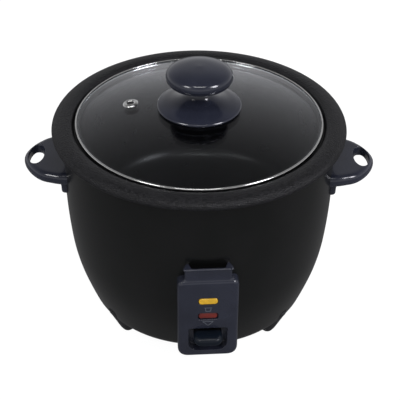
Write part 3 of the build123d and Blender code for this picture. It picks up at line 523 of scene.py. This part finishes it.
outer_dome = dome_line(GLASS_RADIUS, DOME)
inner_dome = dome_line(INNER_RADIUS, DOME - GLASS)
lid_line = outer_dome + [(GLASS_RADIUS, 178.9)] + inner_dome[::-1]
lathe("lid_dome", lid_line, glass, "lid", ["lid_glass"], "lid_glass")
ring_line = rounded([(97.6, 178.3, 0.2), (101.2, 178.3, 0.4), (101.2, 181.3, 0.9), (100.7, 182.0, 0.7),
                     (99.7, 182.0, 0.35), (99.55, 181.4, 0), (100.23, 181.05, 0), (100.23, 178.87, 0),
                     (97.6, 178.87, 0)], 6)
band = lathe("lid_band", ring_line, ring_steel, "lid", ["lid_ring"], "ring_steel")
# painted shade: the band's faces under and inside the ring, low by the glass's edge, take the dark rubber
paint_shade(band, lambda centre: centre.z < 178.95 * MM)

vent_x, vent_y = -56.2, 7.1
vent_reach = hypot(vent_x, vent_y)
vent_crown = through([(2.7, -1.2), (2.75, 0.2), (3.3, 1.0), (4.4, 1.35), (5.5, 1.05), (6.25, 0.5),
                      (6.4, 0.05)], 6)
vent_line = vent_crown + [(4.2, 0.05), (4.2, -3.3), (5.0, -3.3), (5.0, -4.1), (2.7, -4.1)]
vent = lathe("vent_eyelet", vent_line, ring_steel, "lid", ["vent_grommet"], "ring_steel", steps=64)
# painted shade: the eyelet's bore and its shank below the crown take the dark rubber
paint_shade(vent, lambda centre: centre.z < -0.3 * MM or hypot(centre.x, centre.y) < 2.95 * MM)
tilt = Matrix.Rotation(asin(vent_reach / DOME), 4, Vector((-vent_y, vent_x, 0)))
place = Matrix.Translation(Vector((vent_x, vent_y, dome_height(vent_reach))) * MM) @ tilt
vent.data.transform(place)

flare = through([(33.6, 195.6), (29.5, 196.9), (23.0, 198.7), (16.6, 201.4), (12.2, 204.8), (10.1, 209.0),
                 (9.6, 213.4)], 8)
foot_edge = through([(33.4, 193.1), (34.1, 193.9), (34.25, 194.8), (33.6, 195.6)], 6)
base_line = ([(3.2, 194.55), (18, dome_height(18) + 0.06), (33.4, dome_height(33.4) + 0.06)]
             + foot_edge[1:] + flare[1:] + [(3.2, 213.4)])
lathe("knob_foot", base_line, navy, "lid", ["knob_base"], "navy_gloss", steps=160)
cap_curve = through([(10.6, 213.4), (17.0, 213.9), (22.6, 215.0), (25.6, 216.8), (26.9, 219.2), (26.9, 221.4),
                     (26.1, 223.6), (24.2, 225.4), (19.8, 227.2), (12.0, 228.7), (0, 229.5)], 8)
cap_line = [(0, 213.4), (10.6, 213.4)] + cap_curve[1:]
lathe("knob_crown", cap_line, navy, "lid", ["knob_cap"], "navy_gloss", closed=False, steps=160)


# ---- handles -----------------------------------------------------------------------------------
def ear_outline():
    """Half-oval plan of a handle for +X, with its root hidden in the shell."""
    half = through([(98, 33), (110, 33), (116, 32.3), (121, 30.9), (126.5, 29.2), (132, 25.8), (138, 19.5),
                    (142.8, 11.9), (145.5, 4.8), (146.2, 0)], 6)
    return half + [(x, -y) for x, y in half[-2::-1]]


def handle(side):
    """Ear with its mounting pad run together under it, and the finger slot."""
    outline = ear_outline()
    low, high = 135.6, 145.2
    middle = Vector((114, 0))

    def ring(inset, height):
        loop = []
        for x, y in outline:
            towards = Vector((x, y)) - middle
            shrunk = towards * (1 - inset / towards.length)
            loop.append(((middle.x + shrunk.x) * side, middle.y + shrunk.y, height))
        return loop

    loops = []
    for radius, edge, turn in ((3.2, low, 1), (4.6, high, -1)):
        steps = range(9) if turn > 0 else range(8, -1, -1)
        for step in steps:
            angle = radians(90 * step / 8)
            loops.append(ring(radius * (1 - sin(angle)), edge + turn * radius * (1 - cos(angle))))
    ear = make("handle_right_grip" if side > 0 else "handle_left_grip", *loft_mesh(loops), navy, None)
    pad_loops = []
    for height, inset in ((124.4, 0.8), (125.2, 0), (140, 0), (141, 1)):
        pad = rounded_rect(8 - inset, 28 - inset, 3, 6, (105.5, 0))
        pad_loops.append([(x * side, y, height) for x, y in pad])
    add_piece(ear, *loft_mesh(pad_loops))
    gusset = []
    fillet = 8.5
    for y in (-27.6, 27.6):
        loop = [(106 * side, y, 129)]
        for step in range(9):
            angle = radians(90 * step / 8)
            out = 1 - cos(angle)
            x = 112.8 + fillet * out
            loop.append((x * side, y * (1 - 0.1 * out), 129 + fillet * sin(angle)))
        loop.append((106 * side, y, 138))
        gusset.append(loop)
    add_piece(ear, *loft_mesh(gusset))
    remesh = ear.modifiers.new("fuse", "REMESH")
    remesh.mode = "VOXEL"
    remesh.voxel_size = 0.5 * MM
    smooth = ear.modifiers.new("ease", "SMOOTH")
    smooth.iterations = 36
    smooth.factor = 0.5
    apply_modifiers(ear)
    slot_loops = []
    slot_x, slot_y, slot_depth, slot_reach = 135.8, 0.8, 6, 14
    levels = ((130, 1.4), (low + 0.3, 1.4), (low + 1.2, 0.2), (low + 2, 0), (high - 2.4, 0),
              (high - 1.2, 0.2), (high - 0.4, 0.8), (150, 2.2))
    for height, grow in levels:
        slot_loops.append([((slot_x + (slot_depth + grow) * cos(a)) * side,
                            slot_y + (slot_reach + grow) * sin(a), height)
                           for a in (2 * pi * i / 64 for i in range(64))])
    carve(ear, make("slot_cutter", *loft_mesh(slot_loops), navy, None))
    for face in ear.data.polygons:
        face.use_smooth = True
    declare(ear, "body", ["handle_right" if side > 0 else "handle_left"])


def add_piece(piece, verts, faces):
    """Add more closed geometry to a piece's mesh."""
    extra = bpy.data.meshes.new("extra")
    extra.from_pydata([tuple(c * MM for c in v) for v in verts], [], faces)
    joined = bmesh.new()
    joined.from_mesh(piece.data)
    joined.from_mesh(extra)
    bmesh.ops.recalc_face_normals(joined, faces=joined.faces)
    joined.to_mesh(piece.data)
    joined.free()
    bpy.data.meshes.remove(extra)


handle(1)
handle(-1)


# ---- control panel -----------------------------------------------------------------------------
FACE, PANEL_BACK = 119.5, 96.0


def panel_loop(outline, v):
    return [out_from_panel(u, v, z) for u, z in outline]


def panel_outline(inset):
    """Front outline of the panel, moved in by an inset."""
    left, right = -24 + inset, 24 - inset
    low, high = 29.4 + inset, 108 - inset
    return rounded([(left, low, 9 - inset), (right, low, 9 - inset), (right, high, 6.4 - inset * 0.8),
                    (left, high, 6.4 - inset * 0.8)], 10)


def panel():
    edge = 3.0
    loops = [panel_loop(panel_outline(0), PANEL_BACK), panel_loop(panel_outline(0), FACE - edge - 4)]
    for step in range(9):
        angle = radians(90 * step / 8)
        loops.append(panel_loop(panel_outline(edge * (1 - cos(angle))), FACE - edge * (1 - sin(angle))))
    piece = make("panel_housing", *loft_mesh(loops), navy, None)
    windows = [
        (rounded_rect(7.75, 3.25, 2.4, 8, (0, 88.0)), 116.4),
        (rounded_rect(8.0, 3.5, 2.4, 8, (0, 72.3)), 116.4),
        (rounded([(-15.5, 36.1, 9), (15.5, 36.1, 9), (15.5, 59.8, 2.4), (-15.5, 59.8, 2.4)], 10), 112.0),
        (rounded_rect(6.5, 8.5, 0.5, 4, (0, 47.3)), 108.0),
    ]
    for outline, depth in windows:
        loops = [panel_loop(outline, depth), panel_loop(outline, FACE + 3)]
        carve(piece, make("cutter", *loft_mesh(loops), navy, None))
    soften(piece, 0.55, 4, 50)
    declare(piece, "body", ["control_panel"])


panel()


def neck():
    """Waisted neck above the face; in plan it narrows towards the shell, and a dark skin laid on its top is
    painted shade.
    """
    levels = [(23.0, 118.9, 3.0, 104.0), (22.4, 118.8, 3.0, 106.6), (20.7, 118.3, 2.8, 107.8),
              (19.6, 117.9, 2.6, 109.0), (19.2, 117.7, 2.5, 110.6), (19.2, 117.7, 2.5, 114.6),
              (19.4, 117.9, 2.4, 116.6), (20.0, 118.4, 2.4, 118.0), (20.5, 118.8, 2.4, 118.7),
              (20.45, 118.75, 2.4, 119.1), (20.1, 118.4, 2.4, 119.4), (19.4, 117.7, 2.3, 119.6)]
    root, back = 9.0, 92.0
    loops = []
    for half_width, front, radius, height in levels:
        outline = rounded([(-root, back, 0), (root, back, 0), (half_width, front, radius),
                           (-half_width, front, radius)], 8)
        loops.append([out_from_panel(u, v, height) for u, v in outline])
    make("panel_neck", *loft_mesh(loops), navy, "body", ["control_panel"], "navy_gloss")
    # painted shade: a near-black matte skin over the neck's top, where the ledge looks black
    top_shade_outline = [(-13.0, 117.1), (13.0, 117.1), (15.8, 109.0), (-15.8, 109.0)]
    loops = [[out_from_panel(u, v, height) for u, v in top_shade_outline] for height in (119.0, 119.75)]
    make("neck_top_shade", *loft_mesh(loops), painted_shade_black, "body", (), None, smooth=False)


neck()


def lens(name, node, material, half_width, half_height, height, front, dome):
    """A lamp window: a rounded plate with a softly crowned face."""
    back, corner, bevel = 116.4, 2.3, 0.4
    base = rounded_rect(half_width, half_height, corner, 8, (0, height))

    def ring(v, wide, tall):
        return [out_from_panel(u * wide, v, height + (z - height) * tall) for u, z in base]

    loops = []
    for v, shrink in ((back, 0), (front - 0.5, 0), (front - 0.2, 0.12), (front, bevel)):
        loops.append(ring(v, 1 - shrink / half_width, 1 - shrink / half_height))
    for step in (0.75, 0.5, 0.25, 0.05):
        wide, tall = step * (1 - bevel / half_width), step * (1 - bevel / half_height)
        loops.append(ring(front + dome * (1 - step**2), wide, tall))
    make(name, *loft_mesh(loops), material, "body", [node], node)


lens("lens_amber", "amber_lens", amber, 7.4, 2.75, 88.0, 119.7, 0.35)
lens("lens_red", "red_lens", red, 7.4, 2.8, 72.3, 118.5, 0.3)


def tab():
    """Thumb tab: a thick tongue with broad round front corners and soft edges."""
    half_width, root, tip, low, high = 11.25, 113.8, 129.5, 49.4, 55.6
    loops = []
    for radius, edge, turn in ((1.4, low, 1), (3.0, high, -1)):
        steps = range(7) if turn > 0 else range(6, -1, -1)
        for step in steps:
            angle = radians(90 * step / 6)
            inset = radius * (1 - sin(angle))
            side, front = half_width - inset, tip - inset
            corner = 7.5 - inset
            plan = rounded([(-side, root, 0), (side, root, 0), (side, front, corner),
                            (-side, front, corner)], 10)
            loops.append([out_from_panel(u, v, edge + turn * radius * (1 - cos(angle))) for u, v in plan])
    make("lever_key", *loft_mesh(loops), tab_navy, "lever", ["lever_tab"], "tab_plastic")


tab()


def printed(name, outlines):
    """Pad-printed marks: a thin skin just proud of the panel's face."""
    verts, faces = [], []
    for outline in outlines:
        start = len(verts)
        skin = [panel_loop(outline, FACE - 0.05), panel_loop(outline, FACE + 0.06)]
        loop_verts, loop_faces = loft_mesh(skin)
        verts.extend(loop_verts)
        faces.extend(tuple(i + start for i in face) for face in loop_faces)
    make(name, verts, faces, print_grey, "body", (), None, smooth=False)


def stroke(start, end, width=0.5):
    """A straight printed line."""
    start, end = Vector(start), Vector(end)
    along = (end - start).normalized() * width / 2
    across = Vector((-along.y, along.x))
    corners = (start - along - across, end + along - across, end + along + across, start - along + across)
    return [tuple(corner) for corner in corners]


ARROW = ((-4.2, 67.1), (4.2, 67.1), (0, 62.9))
POT_LINES = (((-2.6, 81.4), (2.6, 81.4)), ((-2.2, 80.6), (-1.9, 78.2)), ((2.2, 80.6), (1.9, 78.2)),
             ((-1.9, 78.0), (1.9, 78.0)))
printed("print_arrow", [stroke(ARROW[i], ARROW[(i + 1) % 3]) for i in range(3)])
printed("print_pot", [stroke(start, end) for start, end in POT_LINES])


# ---- feet --------------------------------------------------------------------------------------
def foot(name, node, angle):
    """A slanted fin: level sections that step out towards the shell."""
    sections = [(0.0, 67.8, 85.3, 5.4), (0.3, 67.3, 86.0, 5.9), (0.9, 67, 86.7, 6.2), (4, 67, 88.2, 6.2),
                (9, 67, 90.5, 6.2), (14, 67, 92.8, 6.2), (19, 69, 95.1, 6.2), (23, 76, 97.2, 6.0),
                (26, 84, 98.3, 5.6), (28, 90, 98.6, 4.6)]
    turn = Matrix.Rotation(radians(angle), 4, "Z")
    loops = []
    for height, near, far, half in sections:
        corner = half * 0.8
        outline = rounded([(near, -half, 1), (far, -half, corner), (far, half, corner), (near, half, 1)], 8)
        loops.append([tuple(turn @ Vector((x, y, height))) for x, y in outline])
    make(name, *loft_mesh(loops), foot_black, "body", [node], "foot_plastic")


FOOT_ANGLES = {"foot_rear_right": 41, "foot_rear_left": 139, "foot_front_left": 221, "foot_front_right": 319}
for node, angle in FOOT_ANGLES.items():
    foot(node.replace("foot", "fin"), node, angle)

# ---- stage, light and camera -------------------------------------------------------------------
scene = bpy.context.scene
floor_mesh = bpy.data.meshes.new("floor")
reach = 6.0
floor_corners = [(-reach, -reach, 0), (reach, -reach, 0), (reach, reach, 0), (-reach, reach, 0)]
floor_mesh.from_pydata(floor_corners, [], [(0, 1, 2, 3)])
floor = bpy.data.objects.new("floor", floor_mesh)
bpy.context.collection.objects.link(floor)
floor_paint = Paint("floor_white", (0.1, 0.1, 0.1), 0.9, Emission_Color=(1, 1, 1, 1), Emission_Strength=0.96)
floor_mesh.materials.append(floor_paint.material)
floor.visible_glossy = False

world = bpy.data.worlds.new("studio")
scene.world = world
world.use_nodes = True
nodes, links = world.node_tree.nodes, world.node_tree.links
background = nodes["Background"]
coords = nodes.new("ShaderNodeTexCoord")
split = nodes.new("ShaderNodeSeparateXYZ")
links.new(coords.outputs["Generated"], split.inputs["Vector"])
height = nodes.new("ShaderNodeMapRange")
height.inputs["From Min"].default_value = -1
links.new(split.outputs["Z"], height.inputs["Value"])
gradient = nodes.new("ShaderNodeValToRGB")
links.new(height.outputs["Result"], gradient.inputs["Fac"])
elements = gradient.color_ramp.elements
# brightness from straight down (0) past the horizon (0.5) to straight up (1)
SKY = [(0.0, 0.12), (0.44, 0.16), (0.5, 0.5), (0.53, 0.72), (0.58, 0.6), (0.68, 0.42), (0.8, 0.26),
       (0.9, 0.12), (1.0, 0.07)]
while len(elements) < len(SKY):
    elements.new(0.5)
for element, (position, level) in zip(elements, SKY):
    element.position = position
    element.color = (level, level, level * 1.02, 1)
path = nodes.new("ShaderNodeLightPath")


def choose(factor, otherwise, chosen):
    """Colour that is one thing for a kind of ray and another for the rest."""
    mix = nodes.new("ShaderNodeMix")
    mix.data_type = "RGBA"
    links.new(path.outputs[factor], mix.inputs["Factor"])
    for socket, colour in (("A", otherwise), ("B", chosen)):
        if isinstance(colour, tuple):
            mix.inputs[socket].default_value = colour
        else:
            links.new(colour, mix.inputs[socket])
    return mix.outputs["Result"]


reflected = choose("Is Glossy Ray", (0.5, 0.5, 0.52, 1), gradient.outputs["Color"])
links.new(choose("Is Camera Ray", reflected, (1, 1, 1, 1)), background.inputs["Color"])
scene.view_settings.view_transform = "Standard"


def softbox(name, place, target, size, power, colour=(1, 1, 1)):
    data = bpy.data.lights.new(name, "AREA")
    data.shape = "RECTANGLE"
    data.size, data.size_y = size
    data.energy = power
    data.color = colour
    light = bpy.data.objects.new(name, data)
    bpy.context.collection.objects.link(light)
    light.location = place
    light.rotation_euler = (Vector(target) - Vector(place)).to_track_quat("-Z", "Y").to_euler()
    return light


MIDDLE = (0, 0, 0.12)
softbox("overhead", (0, -0.5, 1.6), MIDDLE, (0.7, 0.25), 5)
softbox("front_left", (-1.0, -0.85, 1.5), MIDDLE, (0.5, 0.5), 7)
softbox("front_right", (1.35, -0.8, 1.5), MIDDLE, (0.6, 0.7), 20, (0.95, 0.94, 1.0))

AIM_HEIGHT = 0.09855            # where the camera looks on the pot's axis
DISTANCE = 0.9
PITCH = radians(36.2)
SIDE = 0.0012
LENS = 93.83
ROLL = radians(0.45)
camera_data = bpy.data.cameras.new("camera")
camera_data.sensor_width = 36
camera_data.lens = LENS
camera = bpy.data.objects.new("camera", camera_data)
bpy.context.collection.objects.link(camera)
camera.location = (SIDE, -DISTANCE * cos(PITCH), AIM_HEIGHT + DISTANCE * sin(PITCH))
aim = (Vector((SIDE, 0, AIM_HEIGHT)) - camera.location).to_track_quat("-Z", "Y").to_matrix().to_4x4()
camera.rotation_euler = (aim @ Matrix.Rotation(ROLL, 4, "Z")).to_euler()
scene.camera = camera
